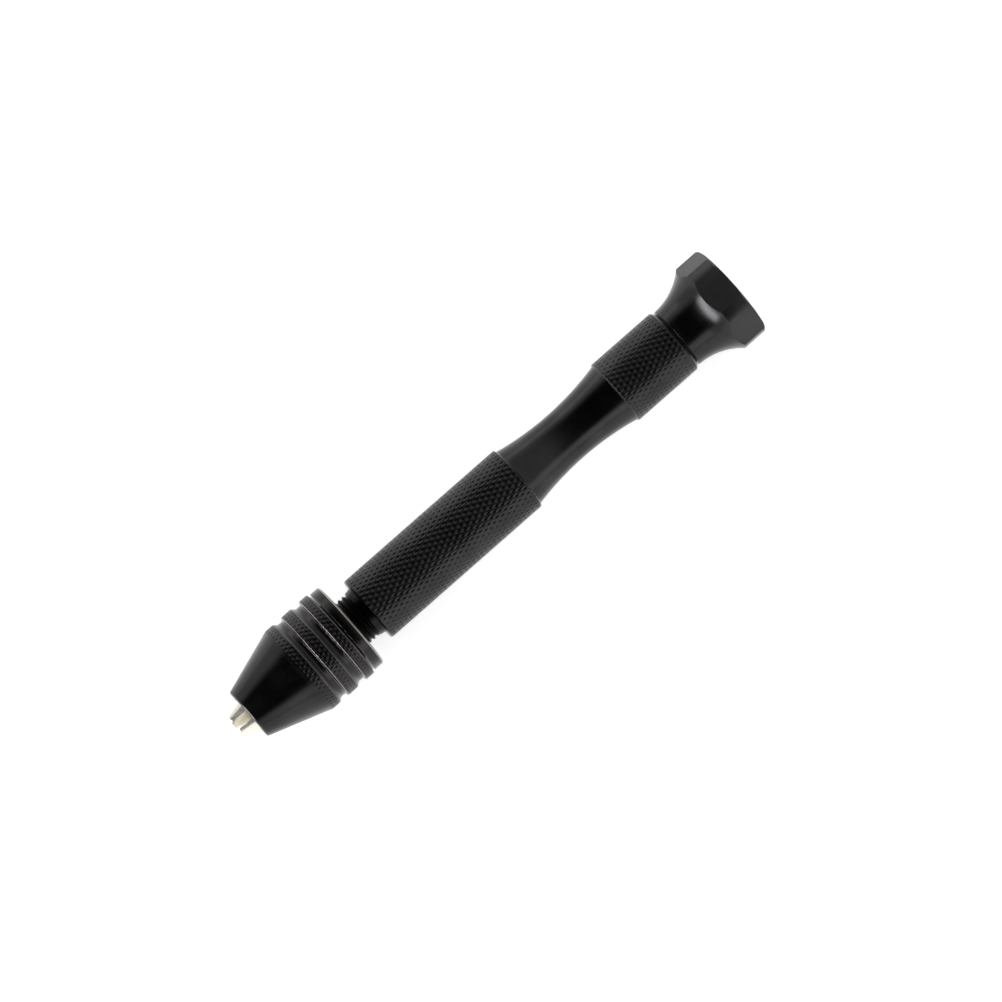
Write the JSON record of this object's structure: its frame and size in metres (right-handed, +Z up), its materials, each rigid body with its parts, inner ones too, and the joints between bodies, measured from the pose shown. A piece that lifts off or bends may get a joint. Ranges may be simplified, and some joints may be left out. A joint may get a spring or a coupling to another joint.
{
  "type": "pin vise drill",
  "caption": "Slim hand drill with a keyless jaw chuck on a knurled, waisted handle and a flared palm cap that spins freely on a ball bearing.",
  "frame": {"origin": "centre of the bottom of the lying tool's box: the lowest line of the chuck's knurled rings, half way between the jaw tips and the cap's end", "axes": "+X along the tool from the jaws to the cap, +Z up as the tool lies with a cap flat downwards, +Y across it"},
  "size_m": [0.0986, 0.0156, 0.0153],
  "materials": {
    "black_anodised": "satin black anodised, knurled grips with lighter worn crests",
    "black_chuck": "satin black oxide with bright worn edges",
    "black_steel": "oiled black steel, turned",
    "bright_jaw_steel": "ground bright steel",
    "bearing_steel": "polished bearing steel",
    "spring_steel": "plain grey spring steel",
    "brass": "turned brass"
  },
  "bodies": {
    "handle": {"handle_body": "black_anodised", "threaded_stud": "black_steel", "bearing_inner_ring": "bearing_steel", "pivot_washer": "bearing_steel", "cap_pivot_screw": "spring_steel"},
    "rear_ring": {"chuck_rear_ring": "black_chuck"},
    "chuck_body": {"chuck_body": "black_steel", "guide_pin_1": "bearing_steel", "guide_pin_2": "bearing_steel", "guide_pin_3": "bearing_steel"},
    "sleeve": {"chuck_sleeve": "black_chuck", "sleeve_retaining_ring": "spring_steel"},
    "carrier": {"jaw_carrier": "brass"},
    "jaw_1": {"jaw_1": "bright_jaw_steel"},
    "jaw_2": {"jaw_2": "bright_jaw_steel"},
    "jaw_3": {"jaw_3": "bright_jaw_steel"},
    "cap": {"swivel_cap": "black_anodised", "bearing_outer_ring": "bearing_steel"},
    "ball_cage": {"bearing_cage": "brass", "bearing_ball_1": "bearing_steel", "bearing_ball_2": "bearing_steel", "bearing_ball_3": "bearing_steel", "bearing_ball_4": "bearing_steel", "bearing_ball_5": "bearing_steel", "bearing_ball_6": "bearing_steel", "bearing_ball_7": "bearing_steel"}
  },
  "joints": [
    {"name": "chuck_screw_travel", "type": "slide", "parent": "handle", "child": "rear_ring", "axis": [1, 0, 0], "range_m": [-0.0045, 0]},
    {"name": "chuck_screw_turn", "type": "hinge", "parent": "rear_ring", "child": "chuck_body", "pos_m": [0, 0, 0.00762], "axis": [1, 0, 0], "range_deg": [-2161, 0]},
    {"name": "sleeve_turn", "type": "hinge", "parent": "chuck_body", "child": "sleeve", "pos_m": [0, 0, 0.00762], "axis": [1, 0, 0], "range_deg": [-1060, 766]},
    {"name": "carrier_travel", "type": "slide", "parent": "chuck_body", "child": "carrier", "axis": [1, 0, 0], "range_m": [-0.00213, 0.00294]},
    {"name": "jaw_1_travel", "type": "slide", "parent": "carrier", "child": "jaw_1", "axis": [0, 0.1908, -0.9816], "range_m": [-0.00065, 0.0009]},
    {"name": "jaw_2_travel", "type": "slide", "parent": "carrier", "child": "jaw_2", "axis": [0, 0.7547, 0.6561], "range_m": [-0.00065, 0.0009]},
    {"name": "jaw_3_travel", "type": "slide", "parent": "carrier", "child": "jaw_3", "axis": [0, -0.9455, 0.3256], "range_m": [-0.00065, 0.0009]},
    {"name": "cap_spin", "type": "hinge", "parent": "handle", "child": "cap", "pos_m": [0, 0, 0.00762], "axis": [1, 0, 0], "continuous": true},
    {"name": "ball_cage_spin", "type": "hinge", "parent": "handle", "child": "ball_cage", "pos_m": [0, 0, 0.00762], "axis": [1, 0, 0], "continuous": true}
  ],
  "couplings": [
    {"joint": "chuck_screw_turn", "follows": "chuck_screw_travel", "rad_per_m": 8377.6},
    {"joint": "sleeve_turn", "follows": "carrier_travel", "rad_per_m": -6283.2},
    {"joint": "jaw_1_travel", "follows": "carrier_travel", "ratio": 0.30573},
    {"joint": "jaw_2_travel", "follows": "carrier_travel", "ratio": 0.30573},
    {"joint": "jaw_3_travel", "follows": "carrier_travel", "ratio": 0.30573},
    {"joint": "ball_cage_spin", "follows": "cap_spin", "ratio": 0.61077}
  ]
}
